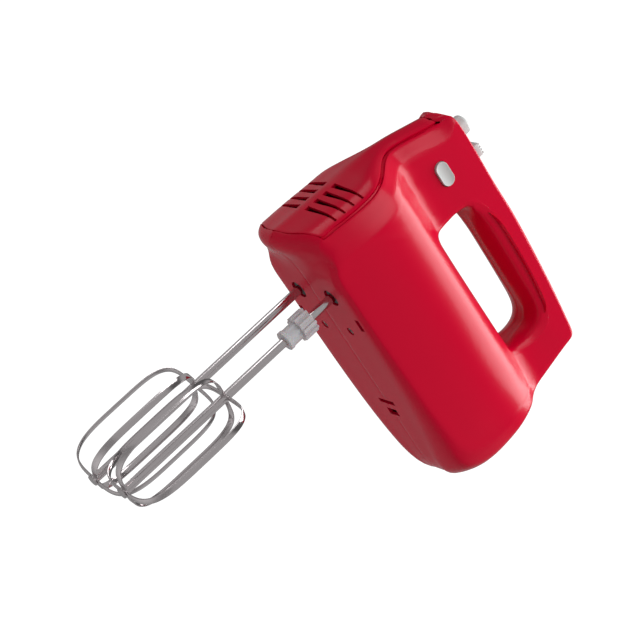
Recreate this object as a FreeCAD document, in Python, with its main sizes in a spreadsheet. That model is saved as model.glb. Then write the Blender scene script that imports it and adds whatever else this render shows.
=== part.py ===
import FreeCAD, Part
import math
import os
import re
import Sketcher
from FreeCAD import Placement, Rotation, Vector

# Hand mixer, in millimetres. The nose points towards -Y, the handle is on top (+Z), the beaters
# hang down (-Z) and the mixer's own left side is +X. The origin lies on the underside of the
# housing, midway between the two beater sockets, and X = 0 is the plane of symmetry.

os.makedirs("parts", exist_ok=True)
doc = FreeCAD.newDocument("HandMixer")
sheet = doc.addObject("Spreadsheet::Sheet", "Sizes")

SIZES = [
    # housing
    ("wall", 2.2),
    ("nose_reach", 47.0),
    ("heel_reach", 153.5),
    ("belly_half_width", 38.6),
    ("underside_half_width", 35.6),
    ("handle_half_width", 15.0),
    ("body_top", 127.0),
    ("top_crown", 1.5),
    ("heel_corner", 132.0),
    ("heel_drop", 7.0),
    ("chin_depth", 6.0),
    ("finger_hole_front", 18.8),
    ("finger_hole_rear", 107.3),
    ("finger_hole_floor", 77.0),
    ("finger_hole_roof", 105.0),
    ("cover_back", 36.0),
    ("cover_bottom", 4.0),
    ("cover_top", 117.0),
    ("panel_gap", 0.3),
    ("vent_count", 4),
    ("vent_pitch", 7.0),
    ("vent_height", 2.8),
    ("vent_inner", 4.0),
    ("vent_outer", 31.0),
    ("lowest_vent", 21.3),
    ("hook_slot_x", 30.5),
    ("hook_slot_y", 18.5),
    ("hook_slot_half_length", 4.2),
    ("hook_slot_half_width", 1.8),
    ("rear_slot_y", 82.0),
    ("rear_slot_width", 16.0),
    ("rear_slot_length", 3.0),
    ("latch_slot_y", 89.0),
    ("latch_slot_width", 10.0),
    ("latch_slot_length", 5.0),
    ("boss_radius", 3.6),
    ("screw_radius", 1.5),
    ("screw_head_radius", 2.8),
    ("screw_head_height", 2.0),
    ("screw_grip", 8.0),
    # gearbox
    ("spindle_offset", 17.6),
    ("socket_hole_radius", 5.7),
    ("hub_radius", 5.0),
    ("hub_bottom", 1.2),
    ("hub_top", 43.0),
    ("running_fit", 0.05),
    ("motor_height", 31.0),
    ("wheel_tooth", 1.3),
    ("mesh_gap", 0.4),
    ("wheel_teeth", 26),
    ("wheel_width", 9.0),
    ("worm_radius", 4.0),
    ("worm_root", 3.0),
    ("worm_length", 22.0),
    ("worm_pitch", 3.0),
    ("tray_half_width", 33.4),
    ("tray_half_length", 20.0),
    ("tray_bottom", 6.0),
    ("tray_top", 38.0),
    ("tray_wall", 2.2),
    ("plate", 3.0),
    ("foot_screw_x", 13.9),
    ("foot_screw_y", 25.9),
    # motor
    ("motor_shaft_radius", 2.5),
    ("motor_shaft_front", -24.0),
    ("motor_shaft_rear", 114.0),
    ("bush_radius", 4.5),
    ("bush_length", 7.0),
    ("fan_front", 23.0),
    ("fan_radius", 22.0),
    ("fan_depth", 10.0),
    ("fan_blades", 11),
    ("stack_front", 48.0),
    ("stack_length", 30.0),
    ("rotor_radius", 14.5),
    ("air_gap", 0.5),
    ("rotor_teeth", 12),
    ("coil_overhang", 7.0),
    ("coil_outer", 21.0),
    ("stator_half_width", 27.0),
    ("stator_half_height", 22.0),
    ("stator_screw_x", 21.0),
    ("stator_screw_z", 17.0),
    ("commutator_front", 86.0),
    ("commutator_length", 10.0),
    ("commutator_radius", 8.5),
    ("brush_width", 5.8),
    ("brush_height", 6.8),
    ("brush_length", 10.0),
    ("holder_outer", 26.0),
    ("bracket_front", 101.0),
    # beaters
    ("beater_shaft_radius", 2.7),
    ("beater_top", 44.0),
    ("beater_tip", -163.5),
    ("loop_half_width", 24.5),
    ("loop_height", 80.0),
    ("loop_top_corner", 12.0),
    ("loop_bottom_corner", 17.0),
    ("strip_width", 4.4),
    ("strip_thickness", 1.0),
    ("left_phase", 20.0),
    ("right_phase", 40.0),
    ("collar_top", -18.0),
    ("collar_ring_height", 9.5),
    ("collar_length", 19.5),
    ("collar_ring_radius", 8.1),
    ("collar_sleeve_radius", 5.7),
    ("collar_teeth", 12),
    # controls
    ("eject_y", -16.0),
    ("eject_radius", 6.2),
    ("eject_crest", 136.6),
    ("eject_travel", 6.0),
    ("eject_rod_radius", 3.0),
    ("eject_flange", 2.5),
    ("eject_bar_bottom", 50.0),
    ("eject_bar_height", 3.0),
    ("guide_top", 100.0),
    ("slider_y", 1.0),
    ("slider_half_length", 4.0),
    ("slider_half_width", 6.0),
    ("slider_crest", 134.8),
    ("slider_travel", 16.0),
    ("slider_slot_width", 5.2),
    ("slider_stem_half_length", 2.2),
    ("turbo_y", -7.5),
    ("turbo_z", 101.4),
    ("turbo_half_length", 7.9),
    ("turbo_half_height", 4.3),
    ("turbo_face", 17.4),
    ("turbo_travel", 2.0),
    ("button_gap", 0.4),
    # cord inlet
    ("gland_z", 46.0),
    ("gland_radius", 6.5),
    ("gland_bore", 3.6),
    ("gland_length", 14.0),
    ("gland_rear", 152.0),
]
NAMES = {name for name, _ in SIZES}
for row, (name, value) in enumerate(SIZES, start=1):
    sheet.set("A%d" % row, name)
    sheet.set("B%d" % row, str(value))
    sheet.setAlias("B%d" % row, name)
doc.recompute()

SUBPARTS = []
TURNS = {
    "x": Rotation(Vector(0, 1, 0), 90),
    "y": Rotation(Vector(1, 0, 0), -90),
    "z": Rotation(),
}


# ---- helpers ---------------------------------------------------------------------------------

def linked(rule):
    """The rule with each size's name turned into a reference to its cell."""
    return re.sub(r"[a-z_]+", lambda word: "Sizes." + word.group()
                  if word.group() in NAMES else word.group(), str(rule))


def number(rule):
    """The rule's present value."""
    return float(sheet.evalExpression(linked(rule)))


def place(item, at, axis="z"):
    """Turn the item's own Z onto the axis and tie its place to the sheet."""
    item.Placement = Placement(Vector(), TURNS[axis])
    for letter, rule in zip("xyz", at):
        item.setExpression("Placement.Base." + letter, linked(rule))
    return item


def cylinder(name, radius, length, at, axis="z"):
    rod = doc.addObject("Part::Cylinder", name)
    rod.setExpression("Radius", linked(radius))
    rod.setExpression("Height", linked(length))
    return place(rod, at, axis)


def block(name, low, high):
    """A box between two opposite corners."""
    brick = doc.addObject("Part::Box", name)
    for side, near, far in zip(("Length", "Width", "Height"), low, high):
        brick.setExpression(side, linked("(%s) - (%s)" % (far, near)))
    return place(brick, low)


def fused(name, pieces):
    whole = doc.addObject("Part::MultiFuse", name)
    whole.Shapes = pieces
    return whole


def cut(name, base, tools):
    tool = tools[0] if len(tools) == 1 else fused(name + "_tools", tools)
    rest = doc.addObject("Part::Cut", name)
    rest.Base = base
    rest.Tool = tool
    return rest


def common(name, pieces):
    rest = doc.addObject("Part::MultiCommon", name)
    rest.Shapes = pieces
    return rest


def subpart(name, item):
    """Mark a finished object as one of the mixer's pieces."""
    item.Label = name
    SUBPARTS.append(item)
    return item


def feature(name, shape):
    """A piece whose shape comes straight from a function."""
    item = doc.addObject("Part::Feature", name)
    item.Shape = shape
    return subpart(name, item)


def origin_plane(body, role):
    for item in body.Origin.OriginFeatures:
        if item.Role == role:
            return item


def new_sketch(body, name, role, height="0"):
    sketch = body.newObject("Sketcher::SketchObject", name)
    sketch.AttachmentSupport = [(origin_plane(body, role), "")]
    sketch.MapMode = "FlatFace"
    if height != "0":
        sketch.setExpression("AttachmentOffset.Base.z", linked(height))
    return sketch


def polygon(sketch, corners):
    """A closed outline whose every corner is tied to the sheet."""
    spots = [Vector(number(x), number(y), 0) for x, y in corners]
    count = len(spots)
    for index in range(count):
        sketch.addGeometry(Part.LineSegment(spots[index], spots[(index + 1) % count]))
    for index in range(count):
        sketch.addConstraint(Sketcher.Constraint("Coincident", index, 2, (index + 1) % count, 1))
    for index, corner in enumerate(corners):
        for kind, rule, value in zip(("DistanceX", "DistanceY"), corner, spots[index]):
            tie = sketch.addConstraint(Sketcher.Constraint(kind, -1, 1, index, 1, value))
            sketch.setExpression("Constraints[%d]" % tie, linked(rule))


def turned(name, corners, at=("0", "0", "0"), axis="z"):
    """A turned piece: corners are (radius, distance along the axis)."""
    body = doc.addObject("PartDesign::Body", name)
    sketch = new_sketch(body, name + "_profile", "XZ_Plane")
    polygon(sketch, corners)
    turn = body.newObject("PartDesign::Revolution", name + "_turn")
    turn.Profile = sketch
    turn.ReferenceAxis = (sketch, ["V_Axis"])
    turn.Angle = 360
    body.Tip = turn
    return place(body, at, axis)


def toothed(name, root, tip, half_tooth, length, count, at, axis, tooth_length=None, lift="0"):
    """A disc with straight radial teeth or blades round it, all of one body."""
    body = doc.addObject("PartDesign::Body", name)
    disc = new_sketch(body, name + "_disc", "XY_Plane")
    ring = disc.addGeometry(Part.Circle(Vector(), Vector(0, 0, 1), number(root)))
    disc.addConstraint(Sketcher.Constraint("Coincident", ring, 3, -1, 1))
    size = disc.addConstraint(Sketcher.Constraint("Radius", ring, number(root)))
    disc.setExpression("Constraints[%d]" % size, linked(root))
    core = body.newObject("PartDesign::Pad", name + "_core")
    core.Profile = disc
    core.setExpression("Length", linked(length))
    outline = new_sketch(body, name + "_tooth", "XY_Plane", lift)
    foot = "(%s) * 0.6" % root
    polygon(outline, [(foot, "-(%s)" % half_tooth), (tip, "-(%s) * 0.7" % half_tooth),
                      (tip, "(%s) * 0.7" % half_tooth), (foot, half_tooth)])
    tooth = body.newObject("PartDesign::Pad", name + "_rib")
    tooth.Profile = outline
    tooth.setExpression("Length", linked(tooth_length or length))
    pattern = body.newObject("PartDesign::PolarPattern", name + "_ring")
    pattern.Originals = [tooth]
    pattern.Axis = (outline, ["N_Axis"])
    pattern.Angle = 360
    pattern.setExpression("Occurrences", linked(count))
    body.Tip = pattern
    return place(body, at, axis)


def coil_spring(radius, wire, length, turns, at, axis):
    """A round-wire helix along the axis."""
    helix = Part.makeHelix(length / turns, length, radius)
    section = Part.Wire(Part.makeCircle(wire, Vector(radius, 0, 0), Vector(0, 1, 0)))
    spring = Part.Wire(helix).makePipeShell([section], True, True)
    spring.Placement = Placement(Vector(*at), TURNS[axis])
    return spring


# ---- housing ---------------------------------------------------------------------------------

def curve(*points):
    """A smooth edge through points."""
    line = Part.BSplineCurve()
    line.interpolate([Vector(*point) for point in points])
    return line.toShape()


def line(start, end):
    return Part.makeLine(Vector(*start), Vector(*end))


def side_outline(inset):
    """The mixer from its side, in the YZ plane: nose, handle top, heel and underside."""
    nose, heel = inset - number("nose_reach"), number("heel_reach") - inset
    top, corner = number("body_top") - inset, number("heel_corner") - inset
    drop, chin = number("heel_drop"), inset - number("chin_depth")
    facet = (0, nose + 12.4, number("cover_top") - inset / 2)
    brow = (0, nose + 20, top + number("top_crown"))
    heel_top = (0, corner, top - drop)
    heel_bottom = (0, heel - 22, inset)
    chin_back = (0, nose + 18, inset)
    chin_front = (0, nose, inset)
    return Part.Wire([
        line(chin_front, (0, nose + 2, 0.36 * top)),
        curve((0, nose + 2, 0.36 * top), (0, nose + 3.6, 0.6 * top), facet),
        line(facet, brow),
        curve(brow, (0, 0.45 * corner, top + 0.4), heel_top),
        curve(heel_top, (0, corner + 4.8, 0.76 * top), (0, heel - 9.5, 0.6 * top),
              (0, heel - 1.5, 0.36 * top), (0, heel - 0.6, 0.2 * top),
              (0, heel - 8, 0.07 * top + inset / 2), heel_bottom),
        line(heel_bottom, chin_back),
        curve(chin_back, (0, nose + 9, chin), (0, nose + 5, chin + 0.8), chin_front),
    ])


def arc_corner(start, end, centre):
    """A quarter circle from start to end about the centre."""
    start, end, centre = Vector(*start), Vector(*end), Vector(*centre)
    radius = (start - centre).Length
    middle = centre + ((start - centre) + (end - centre)).normalize() * radius
    return Part.Arc(start, middle, end).toShape()


def finger_hole_outline(inset):
    """The opening that the fingers pass through, in the YZ plane, grown by the inset."""
    front, rear = number("finger_hole_front") - inset, number("finger_hole_rear") + inset
    floor, roof = number("finger_hole_floor") - inset, number("finger_hole_roof") + inset
    corners = [(rear, floor, -1, 1, 5), (rear, roof, -1, -1, 12), (front, roof, 1, -1, 8),
               (front, floor, 1, 1, 5)]
    edges, last = [], None
    for index, (y, z, to_y, to_z, radius) in enumerate(corners):
        radius += inset
        centre = (0, y + to_y * radius, z + to_z * radius)
        on_level, on_upright = (0, centre[1], z), (0, y, centre[2])
        start, end = (on_level, on_upright) if index % 2 == 0 else (on_upright, on_level)
        if last:
            edges.append(line(last, start))
        else:
            first = start
        edges.append(arc_corner(start, end, centre))
        last = end
    return Part.Wire(edges + [line(last, first)])


def front_outline(inset):
    """The mixer from the front, in the XZ plane: wide belly, shoulders and narrow handle."""
    belly, under = number("belly_half_width") - inset, number("underside_half_width") - inset
    handle, top = number("handle_half_width") - inset, number("body_top") - inset
    keel_z, floor = inset - number("chin_depth") - 1, number("finger_hole_floor") - inset
    edges = []
    for side in (1, -1):
        foot, keel = (side * under, 0, inset), (side * (under - 4), 0, keel_z)
        brow, edge = (side * handle, 0, floor + 10), (side * (handle - 0.6), 0, top - 4)
        rim = (side * (handle - 4), 0, top)
        edges += [
            line((0, 0, keel_z), keel),
            line(keel, foot),
            curve(foot, (side * (belly - 0.4), 0, 0.2 * floor), (side * belly, 0, 0.45 * floor),
                  (side * (belly - 3.2), 0, 0.74 * floor), (side * (belly - 10.5), 0, 0.88 * floor),
                  (side * (handle + 4.5), 0, 0.97 * floor), brow),
            line(brow, edge),
            line(edge, rim),
            line(rim, (0, 0, top + number("top_crown"))),
        ]
    return Part.Wire(Part.sortEdges(edges)[0])


def plan_outline(inset):
    """The mixer from above, in the XY plane: keeled nose, bevelled cheeks and round heel."""
    nose, heel = inset - number("nose_reach"), number("heel_reach") - inset
    belly = number("belly_half_width") - inset
    edges = []
    for side in (1, -1):
        keel, cheek = (side * 0.74 * belly, nose + 2.6, 0), (side * 0.9 * belly, nose + 9.6, 0)
        ear = (side * (belly - 0.6), nose + 19, 0)
        edges += [
            line((0, nose, 0), keel),
            line(keel, cheek),
            line(cheek, ear),
            curve(ear, (side * belly, 0.1 * heel, 0), (side * (belly - 0.5), 0.4 * heel, 0),
                  (side * (belly - 4), 0.66 * heel, 0), (side * (belly - 12), 0.86 * heel, 0),
                  (side * 0.3 * belly, heel - 2.2, 0), (0, heel, 0)),
        ]
    return Part.Wire(Part.sortEdges(edges)[0])


def thick(wire, start, reach):
    """The outline as a solid from start along reach."""
    face = Part.Face(wire)
    face.translate(Vector(*start))
    return face.extrude(Vector(*reach))


def body_block(inset):
    """The whole body, solid, set in by inset; its finger hole grows by the same amount."""
    span = 400
    whole = thick(side_outline(inset), (-span / 2, 0, 0), (span, 0, 0))
    whole = whole.common(thick(front_outline(inset), (0, -span / 2, 0), (0, span, 0)))
    whole = whole.common(thick(plan_outline(inset), (0, 0, -span / 2), (0, 0, span)))
    return whole.cut(thick(finger_hole_outline(inset), (-span / 2, 0, 0), (span, 0, 0)))


def stadium(half_length, half_height, centre, reach):
    """A block with round ends, long in Y, along X."""
    straight = half_length - half_height
    x, y, z = centre
    bar = Part.makeBox(reach, 2 * straight, 2 * half_height,
                       Vector(x, y - straight, z - half_height))
    for end in (-1, 1):
        bar = bar.fuse(Part.makeCylinder(half_height, reach, Vector(x, y + end * straight, z),
                                         Vector(1, 0, 0)))
    return bar.removeSplitter()


def housing_screw_places():
    """Where the screws join the two halves: (y, z)."""
    floor, roof, rear = (number(name) for name in
                         ("finger_hole_floor", "finger_hole_roof", "finger_hole_rear"))
    heel = number("heel_reach")
    return [(-28, floor - 15), (heel - 25, floor - 17), (heel - 27, 14), (rear + 13, roof + 2),
            (number("finger_hole_front") + 10, roof + 12)]


def openings_in_housing():
    """Everything that is cut through the two halves, apart from the front cover's place."""
    wall, gap, top = number("wall"), number("button_gap"), number("body_top")
    tools = []
    for side in (-1, 1):
        x = side * number("spindle_offset")
        tools.append(Part.makeCylinder(number("socket_hole_radius"), 2 * wall, Vector(x, 0, -wall / 2)))
        x = side * number("foot_screw_x")
        spot = Vector(x, number("foot_screw_y"), -1)
        tools.append(Part.makeCylinder(number("screw_head_radius"), wall + 1, spot))
        tools.append(Part.makeCylinder(number("screw_radius"), 12, spot))
        y = number("hook_slot_y")
        hook = stadium(number("hook_slot_half_length"), number("hook_slot_half_width"), (0, y, 0), 2 * wall)
        hook.rotate(Vector(0, y, 0), Vector(0, 1, 0), -90)
        hook.translate(Vector(side * number("hook_slot_x"), 0, -wall / 2))
        tools.append(hook)
    for name in ("rear_slot", "latch_slot"):
        wide = number(name + "_width")
        tools.append(Part.makeBox(wide, number(name + "_length"), 2 * wall,
                                  Vector(-wide / 2, number(name + "_y"), -wall / 2)))
    inside = top - 4 * wall
    tools.append(Part.makeCylinder(number("eject_radius") + gap, top - inside + 2 * wall,
                                   Vector(0, number("eject_y"), inside)))
    wide, stem = number("slider_slot_width"), number("slider_stem_half_length")
    tools.append(Part.makeBox(wide, number("slider_travel") + 2 * (stem + gap), top - inside + 2 * wall,
                              Vector(-wide / 2, number("slider_y") - stem - gap, inside)))
    deep = number("handle_half_width") - 3 * wall
    tools.append(stadium(number("turbo_half_length") + gap, number("turbo_half_height") + gap,
                         (deep, number("turbo_y"), number("turbo_z")), 6 * wall))
    start = number("gland_rear - gland_length") - wall
    tools.append(Part.makeCylinder(number("gland_radius"), number("gland_length") + 4 * wall,
                                   Vector(0, start, number("gland_z")), Vector(0, 1, 0)))
    return tools


def half_of(shell, cavity, side, tools):
    """One half of the shell with its screw bosses, and every opening cut through it."""
    half = shell.common(Part.makeBox(100, 400, 400, Vector(min(0, 100 * side), -200, -200)))
    outward = Vector(side, 0, 0)
    for y, z in housing_screw_places():
        boss = Part.makeCylinder(number("boss_radius"), 60, Vector(0, y, z), outward)
        half = half.fuse(cavity.common(boss))
    post = Part.makeCylinder(4, number("tray_bottom") - 1,
                             Vector(side * number("foot_screw_x"), number("foot_screw_y"), 1))
    half = half.fuse(cavity.common(post))
    for tool in tools:
        half = half.cut(tool)
    return half.removeSplitter()


def housing():
    """Two half shells that meet on X = 0, and the vented cover let into their nose."""
    outer, cavity = body_block(0), body_block(number("wall"))
    shell = outer.cut(cavity)
    back, low, high = -number("cover_back"), number("cover_bottom"), number("cover_top")
    gap, grip = number("panel_gap"), number("screw_grip")
    cover = shell.common(Part.makeBox(200, 60, high - low, Vector(-100, back - 60, low)))
    shell = shell.cut(Part.makeBox(200, 60, high - low + 2 * gap, Vector(-100, back - 60 + gap, low - gap)))

    tools = openings_in_housing()
    for y, z in housing_screw_places():
        outward = Vector(1, 0, 0)
        tools.append(Part.makeCylinder(number("screw_radius"), 2 * grip, Vector(-grip, y, z), outward))
        tools.append(Part.makeCylinder(number("screw_head_radius"), 60, Vector(-grip - 60, y, z), outward))
    feature("left_housing", half_of(shell, cavity, 1, tools))
    feature("right_housing", half_of(shell, cavity, -1, tools))

    height, first, last = number("vent_height"), number("vent_inner"), number("vent_outer")
    for start in (first, -last):
        for step in range(int(number("vent_count"))):
            z = number("lowest_vent") + step * number("vent_pitch")
            cover = cover.cut(Part.makeBox(last - first, 30, height, Vector(start, back - 30, z)))
    feature("front_cover", cover.removeSplitter())


# ---- gearbox ---------------------------------------------------------------------------------

def gearbox():
    """A tray with a lid, which carries both spindles and the front end of the motor shaft."""
    hub = "hub_radius + running_fit"
    holes = [cylinder("tray_bore_%s" % side, hub, "tray_top", ("%s * spindle_offset" % sign, "0", "0"))
             for side, sign in (("left", "1"), ("right", "-1"))]
    holes.append(block("tray_room", ("tray_wall - tray_half_width", "plate - tray_half_length",
                                     "tray_bottom + plate"),
                       ("tray_half_width - tray_wall", "tray_half_length - plate", "tray_top + 1")))
    holes.append(cylinder("tray_front_bore", "bush_radius", "bush_length + 2",
                          ("0", "motor_shaft_front - 1", "motor_height"), "y"))
    holes.append(cylinder("tray_rear_bore", "motor_shaft_radius + 1", "plate + 2",
                          ("0", "tray_half_length - plate - 1", "motor_height"), "y"))
    solids = [block("tray_blank", ("-tray_half_width", "-tray_half_length", "tray_bottom"),
                    ("tray_half_width", "tray_half_length", "tray_top"))]
    solids.append(cylinder("tray_nose", "bush_radius + 2.5", "bush_length",
                           ("0", "motor_shaft_front", "motor_height"), "y"))
    for side, sign in (("left", 1), ("right", -1)):
        low, high = ("foot_screw_x - 5", "foot_screw_x + 5") if sign > 0 else \
            ("-foot_screw_x - 5", "5 - foot_screw_x")
        solids.append(block("tray_ear_" + side, (low, "tray_half_length - 1", "tray_bottom"),
                            (high, "foot_screw_y + 5", "tray_bottom + plate")))
        holes.append(cylinder("tray_ear_bore_" + side, "screw_radius", "plate + 2",
                              ("%d * foot_screw_x" % sign, "foot_screw_y", "tray_bottom - 1")))
    subpart("gearbox_tray", cut("gearbox_tray", fused("tray_solid", solids), holes))

    lid = block("lid_blank", ("-tray_half_width", "-tray_half_length", "tray_top"),
                ("tray_half_width", "tray_half_length", "tray_top + plate"))
    bores = [cylinder("lid_bore_%s" % side, hub, "plate + 2",
                      ("%s * spindle_offset" % sign, "0", "tray_top - 1"))
             for side, sign in (("left", "1"), ("right", "-1"))]
    subpart("gearbox_lid", cut("gearbox_lid", lid, bores))

    corners = []
    for corner, (sx, sy) in enumerate(((1, 1), (1, -1), (-1, 1), (-1, -1))):
        corners.append(cylinder("lid_screw_head_%d" % corner, "screw_head_radius", "screw_head_height",
                                ("%d * (tray_half_width - 4)" % sx, "%d * (tray_half_length - 4)" % sy,
                                 "tray_top + plate")))
    subpart("lid_screws", fused("lid_screws", corners))


def spindles():
    """The two nylon drive wheels: each is a worm wheel on a long hub that takes a beater."""
    bore = "beater_shaft_radius + running_fit"
    wheel_radius = "(spindle_offset - worm_radius - mesh_gap)"
    for side, sign in (("left", "1"), ("right", "-1")):
        at = ("%s * spindle_offset" % sign, "0", "0")
        wheel = toothed(side + "_wheel", wheel_radius + " - wheel_tooth", wheel_radius,
                        "wheel_tooth * 0.6", "wheel_width", "wheel_teeth",
                        (at[0], "0", "motor_height - wheel_width / 2"), "z")
        hub = cylinder(side + "_hub", "hub_radius", "hub_top - hub_bottom", (at[0], "0", "hub_bottom"))
        hole = cylinder(side + "_bore", bore, "hub_top + 4", (at[0], "0", "-2"))
        subpart(side + "_drive_wheel",
                cut(side + "_drive_wheel", fused(side + "_wheel_and_hub", [wheel, hub]), [hole]))
        washer = turned(side + "_thrust_washer", [
            ("hub_radius + 0.3", "0"), ("hub_radius + 3", "0"),
            ("hub_radius + 3", "0.8"), ("hub_radius + 0.3", "0.8")],
            (at[0], "0", "tray_bottom + plate"))
        subpart(side + "_thrust_washer", washer)


# ---- motor -----------------------------------------------------------------------------------

def motor_shaft():
    """The steel shaft with its worm, which drives both wheels from between them."""
    half = number("worm_length") / 2
    start, end = "0", "motor_shaft_rear - motor_shaft_front"
    corners = [("0", start), ("motor_shaft_radius", start)]
    threads = int(number("worm_length") / number("worm_pitch"))
    for thread in range(threads):
        foot = "%s - motor_shaft_front + %d * worm_pitch" % (-half, thread)
        if thread == 0:
            corners.append(("motor_shaft_radius", foot))
        corners += [("worm_root", foot), ("worm_radius", foot + " + 0.25 * worm_pitch"),
                    ("worm_radius", foot + " + 0.6 * worm_pitch"),
                    ("worm_root", foot + " + 0.85 * worm_pitch")]
    last = "%s - motor_shaft_front + %d * worm_pitch" % (-half, threads)
    corners += [("worm_root", last), ("motor_shaft_radius", last), ("motor_shaft_radius", end), ("0", end)]
    subpart("motor_shaft", turned("motor_shaft", corners, ("0", "motor_shaft_front", "motor_height"), "y"))


def on_shaft(name, wheel):
    """The piece with a bore that sits tight on the motor shaft."""
    hole = cylinder(name + "_bore", "motor_shaft_radius", "200", ("0", "-60", "motor_height"), "y")
    return subpart(name, cut(name, wheel, [hole]))


def armature():
    """What turns with the shaft: fan, iron core, winding heads and commutator."""
    fan = toothed("fan_wheel", "fan_radius * 0.5", "fan_radius", "0.8", "fan_depth", "fan_blades",
                  ("0", "fan_front", "motor_height"), "y")
    on_shaft("cooling_fan", fan)
    core = toothed("rotor_stack", "rotor_radius * 0.62", "rotor_radius", "2.4", "stack_length",
                   "rotor_teeth", ("0", "stack_front", "motor_height"), "y")
    on_shaft("armature_core", core)
    heads = [
        turned("winding_front", [("2", "0"), ("rotor_radius - 3", "0"), ("rotor_radius - 1", "2"),
                                 ("rotor_radius - 1", "coil_overhang"), ("2", "coil_overhang")],
               ("0", "stack_front - coil_overhang", "motor_height"), "y"),
        turned("winding_rear", [("2", "0"), ("rotor_radius - 1", "0"), ("rotor_radius - 1", "4"),
                                ("rotor_radius - 4", "coil_overhang - 0.5"), ("2", "coil_overhang - 0.5")],
               ("0", "stack_front + stack_length", "motor_height"), "y"),
    ]
    on_shaft("armature_winding", fused("winding_heads", heads))
    ring = toothed("commutator_ring", "commutator_radius - 0.6", "commutator_radius", "1.2",
                   "commutator_length", "rotor_teeth * 1", ("0", "commutator_front", "motor_height"), "y")
    on_shaft("commutator", ring)


def stator():
    """The fixed iron, with one field coil above the armature and one below."""
    centre = "motor_height"
    iron = block("stator_blank", ("-stator_half_width", "stack_front", centre + " - stator_half_height"),
                 ("stator_half_width", "stack_front + stack_length", centre + " + stator_half_height"))
    along = ("0", "stack_front - 20", centre)
    bore = cylinder("stator_bore", "rotor_radius + air_gap", "stack_length + 40", along, "y")
    window = common("stator_window", [
        cylinder("window_round", "coil_outer + 0.5", "stack_length + 40", along, "y"),
        block("window_band", ("-stator_half_width", "stack_front - 1", centre + " - 12"),
              ("stator_half_width", "stack_front + stack_length + 1", centre + " + 12"))])
    holes = [cylinder("stator_screw_hole_%d" % index, "screw_radius + 0.2", "stack_length + 2",
                      ("%d * stator_screw_x" % sx, "stack_front - 1", centre + " + %d * stator_screw_z" % sz), "y")
             for index, (sx, sz) in enumerate(((1, 1), (-1, -1)))]
    subpart("stator_core", cut("stator_core", iron, [bore, window] + holes))
    for name, sign in (("upper", 1), ("lower", -1)):
        low, high = (centre + " + 1.5", centre + " + 30") if sign > 0 else \
            (centre + " - 30", centre + " - 1.5")
        pole = (centre + " + 11", centre + " + 40") if sign > 0 else (centre + " - 40", centre + " - 11")
        ring = common(name + "_ring", [
            cylinder(name + "_coil_round", "coil_outer", "stack_length + 2 * coil_overhang",
                     ("0", "stack_front - coil_overhang", centre), "y"),
            block(name + "_half", ("-stator_half_width", "stack_front - 20", low),
                  ("stator_half_width", "stack_front + stack_length + 20", high))])
        room = cylinder(name + "_rotor_room", "rotor_radius + 2 * air_gap", "stack_length + 40", along, "y")
        shoe = block(name + "_pole", ("-stator_half_width", "stack_front - 0.2", pole[0]),
                     ("stator_half_width", "stack_front + stack_length + 0.2", pole[1]))
        subpart(name + "_field_coil", cut(name + "_field_coil", ring, [room, shoe]))


def motor_ends():
    """The bushes the shaft runs in, the rear bracket, its screws, and the brush gear."""
    for name, start in (("front", "motor_shaft_front"), ("rear", "bracket_front + plate")):
        bush = turned(name + "_bush", [
            ("motor_shaft_radius + running_fit", "0"), ("bush_radius", "0"),
            ("bush_radius", "bush_length"), ("motor_shaft_radius + running_fit", "bush_length")],
            ("0", start, "motor_height"), "y")
        subpart(name + "_bearing_bush", bush)
    solids = [
        block("bracket_bar", ("-stator_half_width", "bracket_front", "motor_height - stator_half_height"),
              ("stator_half_width", "bracket_front + plate", "motor_height + stator_half_height")),
        cylinder("bracket_boss", "bush_radius + 2.5", "plate + bush_length",
                 ("0", "bracket_front", "motor_height"), "y")]
    holes = [
        cylinder("bracket_seat", "bush_radius", "bush_length + 1",
                 ("0", "bracket_front + plate", "motor_height"), "y"),
        cylinder("bracket_bore", "motor_shaft_radius + 1", "plate + 2",
                 ("0", "bracket_front - 1", "motor_height"), "y")]
    screws = []
    for index, (sx, sz) in enumerate(((1, 1), (-1, -1))):
        x, z = "%d * stator_screw_x" % sx, "motor_height + %d * stator_screw_z" % sz
        solids.append(cylinder("bracket_post_%d" % index, "screw_radius * 2",
                               "bracket_front - stack_front - stack_length",
                               (x, "stack_front + stack_length", z), "y"))
        holes.append(cylinder("bracket_hole_%d" % index, "screw_radius + 0.2", "60",
                              (x, "stack_front + stack_length - 1", z), "y"))
        screws.append(cylinder("stator_screw_%d" % index, "screw_radius",
                               "bracket_front + plate - stack_front",
                               (x, "stack_front", z), "y"))
        screws.append(cylinder("stator_screw_head_%d" % index, "screw_head_radius", "screw_head_height",
                               (x, "bracket_front + plate", z), "y"))
    subpart("motor_bracket", cut("motor_bracket", fused("bracket_solid", solids), holes))
    subpart("stator_screws", fused("stator_screws", screws))
    for side, sign in (("left", 1), ("right", -1)):
        brush_gear(side, sign)


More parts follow.
